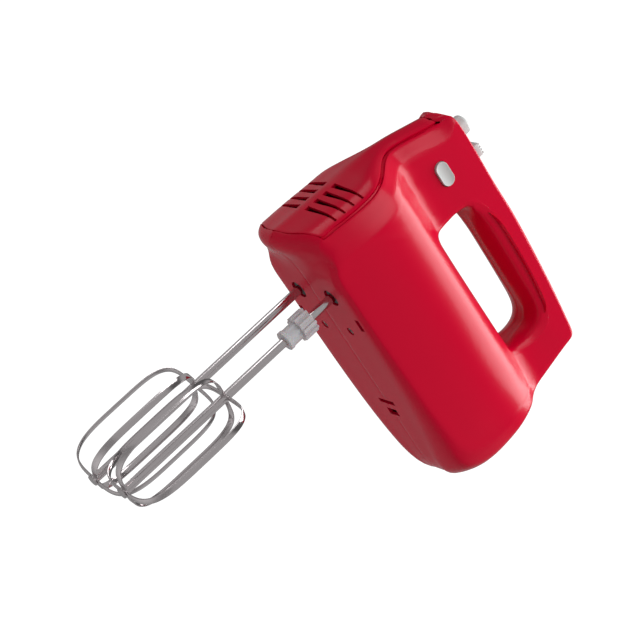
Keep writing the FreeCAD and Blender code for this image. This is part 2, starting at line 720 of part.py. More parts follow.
def brush_gear(side, sign):
    """One carbon brush in its holder, pushed onto the commutator by a spring."""
    def span(near, far):
        return (near, far) if sign > 0 else ("-(%s)" % far, "-(%s)" % near)
    middle = "commutator_front + commutator_length / 2"
    inner, outer = span("commutator_radius + 1.5", "holder_outer")
    tube = block(side + "_holder_blank", (inner, middle + " - brush_width / 2 - 1.2",
                                          "motor_height - brush_height / 2 - 1.2"),
                 (outer, "bracket_front", "motor_height + brush_height / 2 + 1.2"))
    inner, outer = span("commutator_radius", "holder_outer - 1")
    room = block(side + "_holder_room", (inner, middle + " - brush_width / 2 - running_fit",
                                         "motor_height - brush_height / 2 - running_fit"),
                 (outer, middle + " + brush_width / 2 + running_fit",
                  "motor_height + brush_height / 2 + running_fit"))
    subpart(side + "_brush_holder", cut(side + "_brush_holder", tube, [room]))
    inner, outer = span("commutator_radius - 1", "commutator_radius + brush_length")
    carbon = block(side + "_brush_blank", (inner, middle + " - brush_width / 2",
                                           "motor_height - brush_height / 2"),
                   (outer, middle + " + brush_width / 2", "motor_height + brush_height / 2"))
    face = cylinder(side + "_brush_face", "commutator_radius + 0.3", "commutator_length + 4",
                    ("0", "commutator_front - 2", "motor_height"), "y")
    subpart(side + "_carbon_brush", cut(side + "_carbon_brush", carbon, [face]))
    start = number("commutator_radius + brush_length") + 0.5
    length = number("holder_outer") - 2 - start
    foot = start if sign > 0 else -start - length
    feature(side + "_brush_spring", coil_spring(2.2, 0.3, length, 5,
            (foot, number(middle), number("motor_height")), "x"))


# ---- beaters ---------------------------------------------------------------------------------

def rounded_frame(name, half_width, top, bottom, top_corner, bottom_corner, width):
    """A rounded rectangle in the XZ plane, as thick as the strip is wide."""
    blank = block(name + "_blank", ("-(%s)" % half_width, "-(%s) / 2" % width, bottom),
                  (half_width, "(%s) / 2" % width, top))
    doc.recompute()
    middle = number("(%s + %s) / 2" % (top, bottom))
    edges = []
    for index, edge in enumerate(blank.Shape.Edges, start=1):
        start, end = (vertex.Point for vertex in edge.Vertexes)
        if abs(start.x - end.x) < 0.01 and abs(start.z - end.z) < 0.01:
            corner = number(top_corner if start.z > middle else bottom_corner)
            edges.append((index, corner, corner))
    smooth = doc.addObject("Part::Fillet", name)
    smooth.Base = blank
    smooth.Edges = edges
    return smooth


def beater_loop(side, sign, name, inset, phase):
    """One bent strip: down one side, under the hub and up the other, closed over the shaft."""
    top, bottom = "beater_tip + loop_height - (%s)" % inset, "beater_tip + (%s)" % inset
    wide = "loop_half_width - (%s)" % inset
    outside = rounded_frame(side + name + "_outside", wide, top, bottom,
                            "loop_top_corner", "loop_bottom_corner", "strip_width")
    inside = rounded_frame(side + name + "_inside", wide + " - strip_thickness",
                           "(%s) - strip_thickness" % top, "(%s) + strip_thickness" % bottom,
                           "loop_top_corner - strip_thickness",
                           "loop_bottom_corner - strip_thickness", "strip_width + 2")
    hole = cylinder(side + name + "_eye", "beater_shaft_radius", "loop_height + 10",
                    ("0", "0", "beater_tip - 5"))
    strip = cut("%s_beater_%s" % (side, name), outside, [inside, hole])
    strip.Placement = Placement(Vector(), Rotation())
    strip.setExpression("Placement.Base.x", linked("%d * spindle_offset" % sign))
    strip.setExpression("Placement.Rotation.Angle", linked(phase))
    return subpart("%s_beater_%s" % (side, name), strip)


def beaters():
    """Two wire-strip beaters; the left one also has the collar that turns a stand's bowl."""
    for side, sign in (("left", 1), ("right", -1)):
        at = ("%d * spindle_offset" % sign, "0", "beater_tip")
        radius, end = "beater_shaft_radius", "beater_top - beater_tip"
        shaft = turned(side + "_beater_shaft", [
            ("0", "-1.2"), (radius + " + 0.6", "-1.2"), (radius + " + 0.9", "-0.4"), (radius, "0"),
            (radius, end + " - 1.5"), (radius + " - 1", end), ("0", end)], at)
        subpart(side + "_beater_shaft", shaft)
        phase = side + "_phase"
        beater_loop(side, sign, "outer_loop", "0", phase)
        beater_loop(side, sign, "inner_loop", "strip_thickness + 0.1", phase + " + 90")
    ring = toothed("collar_ring", "collar_ring_radius - 1.4", "collar_ring_radius", "1.1",
                   "collar_ring_height", "collar_teeth",
                   ("spindle_offset", "0", "collar_top - collar_ring_height"), "z")
    sleeve = turned("collar_sleeve", [
        ("1", "0"), ("collar_sleeve_radius + 0.5", "0"), ("collar_sleeve_radius + 0.5", "2.2"),
        ("collar_sleeve_radius", "2.6"), ("collar_sleeve_radius", "collar_length"), ("1", "collar_length")],
        ("spindle_offset", "0", "collar_top - collar_length"))
    bore = cylinder("collar_bore", "beater_shaft_radius", "60", ("spindle_offset", "0", "-60"))
    subpart("left_beater_collar",
            cut("left_beater_collar", fused("collar_solid", [ring, sleeve]), [bore]))


# ---- controls --------------------------------------------------------------------------------

def eject():
    """The beater release: a button, the rod under it, and the bar that pushes the beaters out."""
    flange = "guide_top + eject_travel + 9"
    cap = turned("eject_button", [
        ("0", flange), ("eject_radius + eject_flange", flange),
        ("eject_radius + eject_flange", flange + " + 2"), ("eject_radius", flange + " + 2"),
        ("eject_radius", "body_top + top_crown + 3"), ("eject_radius * 0.9", "eject_crest - 2.6"),
        ("eject_radius * 0.6", "eject_crest - 0.7"), ("0", "eject_crest")],
        ("0", "eject_y", "0"))
    subpart("eject_button", cap)
    bar_top = "eject_bar_bottom + eject_bar_height"
    pieces = [
        cylinder("eject_rod", "eject_rod_radius", flange + " - eject_bar_bottom",
                 ("0", "eject_y", "eject_bar_bottom")),
        block("eject_arm", ("-4", "eject_y", "eject_bar_bottom"), ("4", "4", bar_top)),
        block("eject_cross", ("-spindle_offset - 4", "-4", "eject_bar_bottom"),
              ("spindle_offset + 4", "4", bar_top))]
    for side, sign in (("left", 1), ("right", -1)):
        pieces.append(cylinder("eject_pin_" + side, "beater_shaft_radius - 0.4",
                               "eject_bar_bottom + 1 - beater_top - 0.3",
                               ("%d * spindle_offset" % sign, "0", "beater_top + 0.3")))
    subpart("eject_fork", fused("eject_fork", pieces))
    shelf = block("guide_blank", ("-6.6", "1.2 - cover_back + wall", "guide_top - 3"),
                  ("6.6", "eject_y + 4.6", "guide_top"))
    hole = cylinder("guide_hole", "eject_rod_radius + 0.3", "6", ("0", "eject_y", "guide_top - 4"))
    subpart("eject_guide", cut("eject_guide", shelf, [hole]))
    feature("eject_spring", coil_spring(number("eject_rod_radius") + 1.1, 0.4, 13.4, 6,
                                        (0, number("eject_y"), number("guide_top") + 0.8), "z"))


def speed_control():
    """The ribbed slider on top of the handle and the switch it works."""
    knob_bottom = "body_top + top_crown + 0.4"
    pieces = [
        block("slider_cap", ("-slider_half_width", "slider_y - slider_half_length", knob_bottom),
              ("slider_half_width", "slider_y + slider_half_length", "slider_crest - 0.8")),
        block("slider_stem", ("-2", "slider_y - slider_stem_half_length", "body_top - 12.2"),
              ("2", "slider_y + slider_stem_half_length", "slider_crest - 2"))]
    for rib in range(4):
        start = "slider_y - slider_half_length + %s" % (0.4 + 2.0 * rib)
        pieces.append(block("slider_rib_%d" % rib, ("-slider_half_width", start, "slider_crest - 1"),
                            ("slider_half_width", start + " + 1.1", "slider_crest")))
    subpart("speed_slider", fused("speed_slider", pieces))
    subpart("speed_switch", block("speed_switch",
                                  ("-8", "slider_y - 3.4", "finger_hole_roof + wall + 0.5"),
                                  ("8", "slider_y + 21", "body_top - 12.5")))


def turbo_control():
    """The oval button on the left of the handle's front and the microswitch behind it."""
    y, z = number("turbo_y"), number("turbo_z")
    face, half_length, half_height = (number(name) for name in
                                      ("turbo_face", "turbo_half_length", "turbo_half_height"))
    inner = number("handle_half_width") - number("turbo_travel") - 3.6
    button = stadium(half_length, half_height, (inner, y, z), face - inner)
    rim = [edge for edge in button.Edges if abs(edge.BoundBox.XMin - face) < 0.01]
    button = button.makeFillet(1.2, rim)
    flange = stadium(half_length + 1.6, half_height + 1.4, (inner, y, z), 1.2)
    feature("turbo_button", button.fuse(flange).removeSplitter())
    subpart("turbo_switch", block("turbo_switch", ("1", "turbo_y - 3.6", "turbo_z - 5"),
                                  ("handle_half_width - 8.2", "turbo_y + 6.4", "turbo_z + 5")))


def electronics():
    """The speed control's circuit board, inside the handle, and its tall components."""
    board = block("board_blank", ("-10.5", "36", "finger_hole_roof + 6"),
                  ("10.5", "84", "finger_hole_roof + 7.6"))
    holes = [cylinder("board_hole_%d" % index, "screw_radius", "4", ("0", y, "finger_hole_roof + 5"))
             for index, y in enumerate(("39", "81"))]
    subpart("control_board", cut("control_board", board, holes))
    top = "finger_hole_roof + 7.6"
    subpart("board_components", fused("board_components", [
        cylinder("capacitor", "4", "8", ("4", "50", top)),
        block("triac", ("-8", "56", top), ("-5", "66", top + " + 9")),
        block("choke", ("-6", "70", top), ("6", "78", top + " + 6"))]))


def cord_inlet():
    """The rubber grommet at the heel that the cord enters through, and the clamp inside it."""
    bore = "gland_bore"
    gland = turned("cord_gland", [
        (bore, "0"), ("gland_radius + 1.6", "0"), ("gland_radius + 1.6", "3"), ("gland_radius", "3"),
        ("gland_radius", "gland_length"), (bore, "gland_length")],
        ("0", "gland_rear - gland_length", "gland_z"), "y")
    subpart("cord_gland", gland)
    bar = block("clamp_blank", ("-11", "gland_rear - gland_length - 10", "gland_z - 8"),
                ("11", "gland_rear - gland_length - 4", "gland_z"))
    groove = cylinder("clamp_groove", bore, "10", ("0", "gland_rear - gland_length - 12", "gland_z"), "y")
    subpart("cord_clamp", cut("cord_clamp", bar, [groove]))
    heads = [cylinder("clamp_screw_%d" % index, "screw_head_radius", "screw_head_height",
                      ("%d * 7.4" % sign, "gland_rear - gland_length - 7", "gland_z"))
             for index, sign in enumerate((1, -1))]
    subpart("clamp_screws", fused("clamp_screws", heads))


def housing_screws():
    """The screws that join the halves, and the two that hold the gearbox down."""
    grip, head = number("screw_grip"), number("screw_head_height")
    thin, wide = number("screw_radius"), number("screw_head_radius") - 0.2
    solids = []
    for y, z in housing_screw_places():
        shank = Part.makeCylinder(thin, 2 * grip, Vector(-grip, y, z), Vector(1, 0, 0))
        cap = Part.makeCylinder(wide, head, Vector(-grip - head, y, z), Vector(1, 0, 0))
        cross = Part.makeBox(1.2, 0.8, 3, Vector(-grip - head - 0.1, y - 0.4, z - 1.5))
        slot = Part.makeBox(1.2, 3, 0.8, Vector(-grip - head - 0.1, y - 1.5, z - 0.4))
        solids.append(shank.fuse(cap).cut([cross, slot]))
    feature("housing_screws", Part.makeCompound(solids))
    solids = []
    for side in (-1, 1):
        x, y = side * number("foot_screw_x"), number("foot_screw_y")
        seat = number("wall")
        shank = Part.makeCylinder(thin, number("tray_bottom") + number("plate") - seat, Vector(x, y, seat))
        cap = Part.makeCylinder(wide, 1.4, Vector(x, y, seat - 1.4))
        cross = Part.makeBox(3, 0.8, 0.8, Vector(x - 1.5, y - 0.4, seat - 1.5))
        slot = Part.makeBox(0.8, 3, 0.8, Vector(x - 0.4, y - 1.5, seat - 1.5))
        solids.append(shank.fuse(cap).cut([cross, slot]))
    feature("foot_screws", Part.makeCompound(solids))


housing()
housing_screws()
gearbox()
spindles()
motor_shaft()
armature()
stator()
motor_ends()
beaters()
eject()
speed_control()
turbo_control()
electronics()
cord_inlet()
doc.recompute()

faults = ["%s is %s" % (item.Label, item.State) for item in doc.Objects
          if "Invalid" in item.State or "Error" in item.State]
for item in SUBPARTS:
    if item.Shape.isNull() or not item.Shape.isValid() or not item.Shape.Solids:
        faults.append(item.Label + " has no valid solid")
if faults:
    raise RuntimeError("\n".join(faults))
for item in SUBPARTS:
    item.Shape.exportStep("parts/%s.step" % item.Label)
print(len(SUBPARTS), "sub-parts written")
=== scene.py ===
import math

import bpy
import numpy as np
from mathutils import Matrix, Vector


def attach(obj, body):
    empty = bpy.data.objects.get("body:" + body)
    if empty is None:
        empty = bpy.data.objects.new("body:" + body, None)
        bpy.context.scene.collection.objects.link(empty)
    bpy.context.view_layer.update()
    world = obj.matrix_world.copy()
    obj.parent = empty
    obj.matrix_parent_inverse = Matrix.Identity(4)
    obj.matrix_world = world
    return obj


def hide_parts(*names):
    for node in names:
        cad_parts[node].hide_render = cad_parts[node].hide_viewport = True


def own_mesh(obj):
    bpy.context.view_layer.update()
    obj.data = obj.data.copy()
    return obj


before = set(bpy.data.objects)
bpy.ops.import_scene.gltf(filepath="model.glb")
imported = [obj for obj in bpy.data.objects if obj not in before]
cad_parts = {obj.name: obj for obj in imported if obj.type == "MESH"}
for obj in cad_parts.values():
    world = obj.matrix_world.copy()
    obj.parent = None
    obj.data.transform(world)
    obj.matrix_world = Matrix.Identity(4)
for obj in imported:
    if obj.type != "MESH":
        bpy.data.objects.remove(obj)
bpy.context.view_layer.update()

# ---- Housing halves -------------------------------------------------------------------------
# The mixer's body is two injection-moulded halves in glossy red ABS, left and right, that meet
# on the middle plane round the finger hole. Screws join them from the right. Each half is one
# sheet of plastic, laid out as rings between the finger hole and the outline.

MM = 0.001
HANDLE_HALF = 15.0      # half the handle's width
HANDLE_FOOT = 87        # the height where the handle's straight sides start
SHELL_WALL = 2.0
EDGE_ROUND = 0.45
GRADES = 2              # levels of subdivision
SMOOTH_BELOW = 35       # degrees


def deselect():
    """Leave edit mode, with nothing selected."""
    if bpy.context.object and bpy.context.object.mode != "OBJECT":
        bpy.ops.object.mode_set(mode="OBJECT")
    bpy.ops.object.select_all(action="DESELECT")


def pick(piece):
    """Make the piece the one that operators work on."""
    deselect()
    piece.select_set(True)
    bpy.context.view_layer.objects.active = piece


def named(name):
    """Name the primitive that was just added, and its mesh."""
    piece = bpy.context.object
    piece.name = name
    piece.data.name = name
    return piece


def finish_with(piece, kind, **settings):
    """Add a modifier with these settings and apply it."""
    pick(piece)
    modifier = piece.modifiers.new(kind.lower(), kind)
    for key, value in settings.items():
        setattr(modifier, key, value)
    bpy.ops.object.modifier_apply(modifier=modifier.name)


def settle(piece):
    """Put the piece's place, turn and size into its mesh."""
    pick(piece)
    bpy.ops.object.transform_apply(location=True, rotation=True, scale=True)
    return piece


def subtract(piece, *cutters):
    """Cut the cutters out of the piece and throw them away."""
    pick(cutters[0])
    for cutter in cutters[1:]:
        cutter.select_set(True)
    if len(cutters) > 1:
        bpy.ops.object.join()
    cutter = bpy.context.object
    finish_with(piece, "BOOLEAN", object=cutter, operation="DIFFERENCE", solver="EXACT")
    bpy.data.objects.remove(cutter, do_unlink=True)


def join(pieces, name):
    """Join the pieces into one object."""
    pick(pieces[0])
    for piece in pieces[1:]:
        piece.select_set(True)
    bpy.ops.object.join()
    return named(name)


def rounded(piece, width, segments=3, angle=30):
    """Round the piece's edges."""
    finish_with(piece, "BEVEL", width=width * MM, segments=segments, limit_method="ANGLE",
                angle_limit=math.radians(angle))
    return piece


def smooth_by_angle(piece, degrees=SMOOTH_BELOW):
    """Shade the piece smooth, but for edges sharper than this."""
    pick(piece)
    bpy.ops.object.shade_smooth_by_angle(angle=math.radians(degrees))


def edit_all(piece):
    """Open the piece in edit mode with all of it selected."""
    pick(piece)
    bpy.ops.object.mode_set(mode="EDIT")
    bpy.ops.mesh.select_all(action="SELECT")


def edit_faces(piece, test):
    """Open the piece in edit mode with only the faces that pass the test selected."""
    pick(piece)
    bpy.ops.object.mode_set(mode="EDIT")
    bpy.ops.mesh.select_mode(type="FACE")
    bpy.ops.mesh.select_all(action="DESELECT")
    bpy.ops.object.mode_set(mode="OBJECT")
    for face in piece.data.polygons:
        face.select = test(face)
    bpy.ops.object.mode_set(mode="EDIT")


def face_outwards(piece):
    """Turn the piece's faces outwards."""
    edit_all(piece)
    bpy.ops.mesh.normals_make_consistent(inside=False)
    bpy.ops.object.mode_set(mode="OBJECT")


def spline(points):
    """A natural cubic through (x, y) points, flat beyond its ends."""
    xs, ys = (np.array(column, float) for column in zip(*points))
    gap = np.diff(xs)
    count = len(xs)
    system, right = np.eye(count), np.zeros(count)
    for i in range(1, count - 1):
        system[i, i - 1:i + 2] = gap[i - 1], 2 * (gap[i - 1] + gap[i]), gap[i]
        right[i] = 6 * ((ys[i + 1] - ys[i]) / gap[i] - (ys[i] - ys[i - 1]) / gap[i - 1])
    bend = np.linalg.solve(system, right)

    def at(x):
        x = min(max(x, xs[0]), xs[-1])
        i = min(max(int(np.searchsorted(xs, x)) - 1, 0), count - 2)
        near, far = (xs[i + 1] - x) / gap[i], (x - xs[i]) / gap[i]
        return (near * ys[i] + far * ys[i + 1] +
                ((near ** 3 - near) * bend[i] + (far ** 3 - far) * bend[i + 1]) * gap[i] ** 2 / 6)
    return at


# Half-width of the body by height, and how much of the belly's swell is left towards the heel.
half_width_at = spline([(-7, 34.5), (0, 36.2), (12, 37.6), (24, 38.3), (36, 38.4), (46, 37.7),
                        (54, 36.0), (61, 33.0), (66, 29.4), (70, 25.4), (73.5, 21.2),
                        (77, 17.9), (81, 16.0), (87, HANDLE_HALF), (104, HANDLE_HALF),
                        (128, HANDLE_HALF - 0.5)])
swell_at = spline([(-47, 0.97), (-28, 0.99), (0, 1.0), (40, 1.0), (70, 0.98), (95, 0.92),
                   (115, 0.83), (132, 0.70), (154, 0.55)])


def half_width(y, z):
    """Half the body's width at a place on its side."""
    swell = swell_at(y) if z < HANDLE_FOOT else 1
    return HANDLE_HALF + (half_width_at(z) - HANDLE_HALF) * swell


# Each spoke runs from the finger hole to the outline, both as (y, z). The third number is the
# rounding at the hole. The fourth is the rounding at the outline; at the nose it is instead
# (how far the ends are drawn back, how far they are lifted).
SPOKES = [
    ((31, 105), (12, 126.7), 9.5, 2.4), ((42, 105), (36, 127.0), 11, 2.4),
    ((55, 105), (55, 126.4), 11, 2.4), ((69, 105), (74, 125.2), 11, 2.4),
    ((82, 105), (92, 123.7), 11, 2.4), ((93, 105), (109, 122.0), 11, 2.6),
    ((100.8, 103.8), (123, 120.4), 10, 3), ((105.2, 99.8), (131.4, 118.6), 9.5, 3.5),
    ((106.9, 95), (133.6, 112), 9, 4), ((107.3, 89.5), (136.0, 101), 8.5, 4.5),
    ((107.4, 84), (139.2, 89), 6.5, 6), ((107.2, 80.6), (140.8, 83.4), 6, 7.5),
    ((106.4, 78), (142.6, 77.5), 5.5, 9), ((104.7, 76.9), (144.5, 71.5), 5.5, 11),
    ((102.8, 76.6), (146.6, 65), 5.5, 13), ((96, 76.8), (149.8, 51), 6, 17),
    ((89, 77), (151.8, 36), 7, 20), ((82, 77), (151.3, 22), 7, 20),
    ((75, 77), (146.4, 9.5), 7, 18), ((68, 77), (135, 1.5), 7, 14),
    ((60.5, 77), (115, 0), 7, 10), ((52.5, 77), (92, 0), 7, 7), ((44.5, 77), (68, 0), 7, 5.5),
    ((37, 77), (44, 0), 7, 4.5), ((30, 77), (20, 0), 7, 4), ((24.5, 77), (0, 0), 7, 4),
    ((21.3, 77.9), (-16, 0), 7, 4.5), ((19.6, 79.6), (-28.5, -1.8), 7, (0.46, 6.6)),
    ((18.8, 82), (-38, -5.6), 7, (0.79, 11.6)), ((18.8, 84.2), (-44.2, -4.6), 7, (0.96, 12.6)),
    ((18.8, 86.5), (-46.9, 0.0), 7, (1, 11.6)), ((18.8, 89), (-46.5, 12), 7, (1, 6)),
    ((18.8, 91.5), (-45.9, 28), 7, (1, 1)), ((18.8, 94), (-45.2, 44), 7, (1, 0)),
    ((18.8, 95.2), (-45.5, 54), 6.5, (1, 0)), ((18.8, 96.4), (-45.2, 62), 6, (1, 0)),
    ((18.8, 98), (-44.7, 71), 5.5, (1, 0)), ((19.0, 100), (-43.8, 80), 5, (1, 0)),
    ((19.4, 101.9), (-42.3, 89), 5, (1, 0)),
    ((20.2, 103.4), (-40.3, 98), 5, (1, 0)), ((23.4, 105.1), (-35.8, 117), 6, (1, 0)),
    ((27.0, 105), (-27, 126.5), 8, 2.6),
]
# Sections through the nose, from the belly's side to the keel: (distance behind the keel, share
# of the half-width), low down and high up. The second and third are the band beside the cover.
LOW_NOSE = [(24.0, 1.0), (17.8, 0.975), (9.2, 0.9), (7.2, 0.865), (2.9, 0.66), (1.4, 0.33), (0, 0)]
HIGH_NOSE = [(15.9, 1.0), (12.2, 0.98), (4.2, 0.75), (2.9, 0.6), (1.4, 0.42), (0.5, 0.2), (0, 0)]
ROUND_SECTION = [(1.0, 1.0), (0.62, 0.924), (0.293, 0.707), (0.0, 0.0)]
FLAT_SHARES = [0.66, 0.33, 0.0]
SIDE_RINGS = 16
RING_CROWDING = 1.2     # above 1, the rings lie closer together near the finger hole
NOSE_CHANGE_Z = 50      # where the low section starts to turn into the high one
NOSE_CHANGE_RISE = 34   # and over what height


def is_nose(spoke):
    """Whether the nose cover reaches this spoke."""
    return isinstance(spoke[3], tuple) and spoke[1][1] >= 0


def nose_points(rim, draw, lift):
    """The points (x, y, z) across the nose at one spoke, from the side to the keel."""
    high = min(max((rim[1] - NOSE_CHANGE_Z) / NOSE_CHANGE_RISE, 0), 1)
    high = high * high * (3 - 2 * high)
    points = []
    for (low_back, low_share), (high_back, high_share) in zip(LOW_NOSE, HIGH_NOSE):
        back = low_back + (high_back - low_back) * high
        share = low_share + (high_share - low_share) * high
        z = rim[1] + lift * share ** 2
        points.append((half_width(rim[0] + back * draw, z) * share, rim[0] + back * draw, z))
    return points


def spoke_points(hole, rim, hole_round, rim_round):
    """One spoke's points (x, y, z), from the seam in the finger hole to the outer seam."""
    start, end = Vector(hole), Vector(rim)
    nose = nose_points(rim, *rim_round) if isinstance(rim_round, tuple) else None
    last = Vector(nose[0][1:]) if nose else end - (end - start).normalized() * rim_round
    path = last - start

    def spot(along):
        return start + path * (along / path.length)

    points = []
    flat = half_width(*start) - hole_round
    for share in (0.0, 0.5):
        points.append((share * flat, *start))
    for depth, turn in reversed(ROUND_SECTION):
        at = spot(depth * hole_round)
        points.append((flat + (half_width(*at) - flat) * turn, *at))
    for ring in range(1, SIDE_RINGS):
        share = (ring / SIDE_RINGS) ** RING_CROWDING
        at = spot(hole_round + (path.length - hole_round) * share)
        points.append((half_width(*at), *at))
    if nose:
        return points + nose
    inward = (end - start).normalized()
    flat = half_width(*end) - rim_round
    for depth, turn in ROUND_SECTION:
        at = end - inward * depth * rim_round
        points.append((flat + (half_width(*at) - flat) * turn, *at))
    return points + [(share * flat, *end) for share in FLAT_SHARES]


table = [spoke_points(*spoke) for spoke in SPOKES]
RINGS = len(table[0])
BAND = RINGS - len(LOW_NOSE) + 1
GROOVE = BAND + 1
NOSE_ROWS = [i for i, spoke in enumerate(SPOKES) if is_nose(spoke)]
CHIN_ROW, BROW_ROW = NOSE_ROWS[0], NOSE_ROWS[-1]


def laid_grid(name, rows, rings, closed):
    """A grid primitive whose vertices are laid on the table of spokes."""
    deselect()
    across = len(rows) if closed else len(rows) - 1
    bpy.ops.mesh.primitive_grid_add(x_subdivisions=len(rings) - 1, y_subdivisions=across, size=1)
    grid = named(name)
    marks = grid.data.attributes.new("mark", "INT", "POINT")
    for vertex in grid.data.vertices:
        ring = rings[round((vertex.co.x + 0.5) * (len(rings) - 1))]
        row = rows[round((vertex.co.y + 0.5) * across) % len(rows)]
        vertex.co = Vector(table[row][ring]) * MM
        marks.data[vertex.index].value = row * RINGS + ring
    edit_all(grid)
    bpy.ops.mesh.remove_doubles(threshold=0.02 * MM)
    face_outwards(grid)
    return grid


def take_out(piece, test):
    """Delete the faces whose corners all pass test(row, ring)."""
    def passes(face):
        marks = piece.data.attributes["mark"].data
        return all(test(*divmod(marks[v].value, RINGS)) for v in face.vertices)

    edit_faces(piece, passes)
    bpy.ops.mesh.delete(type="FACE")
    bpy.ops.object.mode_set(mode="OBJECT")


def sharpen(piece, sharpness, test):
    """Crease the edges whose two ends both pass test(row, ring)."""
    layer = piece.data.attributes.get("crease_edge") or \
        piece.data.attributes.new("crease_edge", "FLOAT", "EDGE")
    marks = piece.data.attributes["mark"].data
    for edge in piece.data.edges:
        if all(test(*divmod(marks[v].value, RINGS)) for v in edge.vertices):
            layer.data[edge.index].value = sharpness


FIT_PASSES = 4
FIT_STEP = 0.9


def swell_to_cage(piece):
    """Subdivide so that the smooth surface passes through the points of the grid."""
    targets = [vertex.co.copy() for vertex in piece.data.vertices]
    modifier = piece.modifiers.new("subdivide", "SUBSURF")
    modifier.levels = modifier.render_levels = 1
    for _ in range(FIT_PASSES):
        evaluated = piece.evaluated_get(bpy.context.evaluated_depsgraph_get())
        shift = [target - evaluated.data.vertices[i].co for i, target in enumerate(targets)]
        for vertex, step in zip(piece.data.vertices, shift):
            vertex.co += step * FIT_STEP
        piece.data.update()
    modifier.levels = modifier.render_levels = GRADES
    pick(piece)
    bpy.ops.object.modifier_apply(modifier=modifier.name)


half = laid_grid("left_shell", range(len(SPOKES)), range(RINGS), closed=True)
# The place of the nose cover is taken out of the half.
take_out(half, lambda row, ring: row in NOSE_ROWS and ring >= GROOVE)
sharpen(half, 1.0, lambda row, ring: ring == BAND and CHIN_ROW - 2 <= row <= BROW_ROW)
sharpen(half, 1.0, lambda row, ring: ring >= GROOVE and row in (CHIN_ROW, BROW_ROW))
swell_to_cage(half)
smooth_by_angle(half, 40)
finish_with(half, "SOLIDIFY", thickness=SHELL_WALL * MM, offset=-1)
rounded(half, EDGE_ROUND, 2, 60)

# A ledge behind the gap round the cover, which the cover rests on.
LEDGE_DEPTH = 2.15
LEDGE_WALL = 1.2
ledge = laid_grid("ledge", range(CHIN_ROW - 1, BROW_ROW + 2), range(BAND, RINGS), closed=False)
take_out(ledge, lambda row, ring: ring > GROOVE + 1 and CHIN_ROW + 1 <= row <= BROW_ROW - 1)
take_out(ledge, lambda row, ring: ring > GROOVE and row > BROW_ROW - 1)
swell_to_cage(ledge)
finish_with(ledge, "DISPLACE", strength=-LEDGE_DEPTH * MM, mid_level=0)
finish_with(ledge, "SOLIDIFY", thickness=LEDGE_WALL * MM, offset=-1)
half = join([half, ledge], "left_shell")

pick(half)
bpy.ops.object.duplicate()
other = named("right_shell")
bpy.ops.transform.mirror(constraint_axis=(True, False, False))
face_outwards(settle(other))


def drum(radius, length, place, axis="z", sides=48):
    """A round cutter or rod, centred on a place in millimetres."""
    deselect()
    turns = {"x": (0, math.pi / 2, 0), "y": (math.pi / 2, 0, 0), "z": (0, 0, 0)}
    bpy.ops.mesh.primitive_cylinder_add(vertices=sides, radius=radius * MM, depth=length * MM,
                                        location=[c * MM for c in place], rotation=turns[axis])
    return settle(bpy.context.object)


def brick(size, place):
    """A rectangular cutter or block, centred on a place in millimetres."""
    deselect()
    bpy.ops.mesh.primitive_cube_add(size=1, location=[c * MM for c in place])
    bpy.context.object.scale = [c * MM for c in size]
    return settle(bpy.context.object)


def oblong(half_length, half_height, length, place, axis="x"):
    """A round-ended bar: its long way is Y and it is extruded along the axis."""
    bar = drum(half_height, length, place, axis, 64)
    for vertex in bar.data.vertices:
        step = half_length - half_height
        vertex.co.y += (step if vertex.co.y > place[1] * MM else -step) * MM
    return bar


SOCKET_X, SOCKET_RADIUS = 17.6, 5.7
EJECT_Y, EJECT_HOLE = -16.0, 6.6
SLIDER_Y, SLIDER_SLOT, SLOT_SHIFT = 1.0, (5.2, 21.2), 8    # the knob rests at the slot's front
BOOST_Y, BOOST_Z = -7.5, 101.4
BOOST_HOLE = (8.3, 4.7)
FOOT_SCREW = (13.9, 25.9)
HOOK_SLOT, HOOK_PLACE = (3.6, 8.4), (30.5, 18.5)
REAR_SLOT, REAR_Y = (16, 3), 83.5
LATCH_SLOT, LATCH_Y = (10, 5), 91.5
GLAND_RADIUS, GLAND_Y, GLAND_Z = 6.5, 150, 46
SCREW_RADIUS, BOSS_RADIUS, BOSS_INNER_X, BOSS_BITE = 2.8, 3.6, 8, 0.5
SCREW_SPOTS = [(-28, 62), (128.5, 60), (126.5, 14), (120.3, 107), (28.8, 117)]
SCREW_CUT_X, BORE_X = -28, -38
UNDER_CUT, TOP_CUT, TOP_Z = 8, 20, 127
RAY_START_X, RAY_ASIDE = -9, 3.2

for piece, side in ((half, 1), (other, -1)):
    subtract(piece,
             drum(SOCKET_RADIUS, 10, (side * SOCKET_X, 0, 0)),
             drum(SCREW_RADIUS, 6, (side * FOOT_SCREW[0], FOOT_SCREW[1], 0)),
             brick((*HOOK_SLOT, UNDER_CUT), (side * HOOK_PLACE[0], HOOK_PLACE[1], 0)),
             brick((*REAR_SLOT, UNDER_CUT), (0, REAR_Y, 0)),
             brick((*LATCH_SLOT, UNDER_CUT), (0, LATCH_Y, 0)),
             drum(EJECT_HOLE, TOP_CUT, (0, EJECT_Y, TOP_Z)),
             brick((*SLIDER_SLOT, TOP_CUT), (0, SLIDER_Y + SLOT_SHIFT, TOP_Z)),
             drum(GLAND_RADIUS, 30, (0, GLAND_Y, GLAND_Z), "y"))
subtract(half, oblong(*BOOST_HOLE, 12, (HANDLE_HALF, BOOST_Y, BOOST_Z)))
subtract(other, *[drum(SCREW_RADIUS, 40, (SCREW_CUT_X, y, z), "x") for y, z in SCREW_SPOTS])
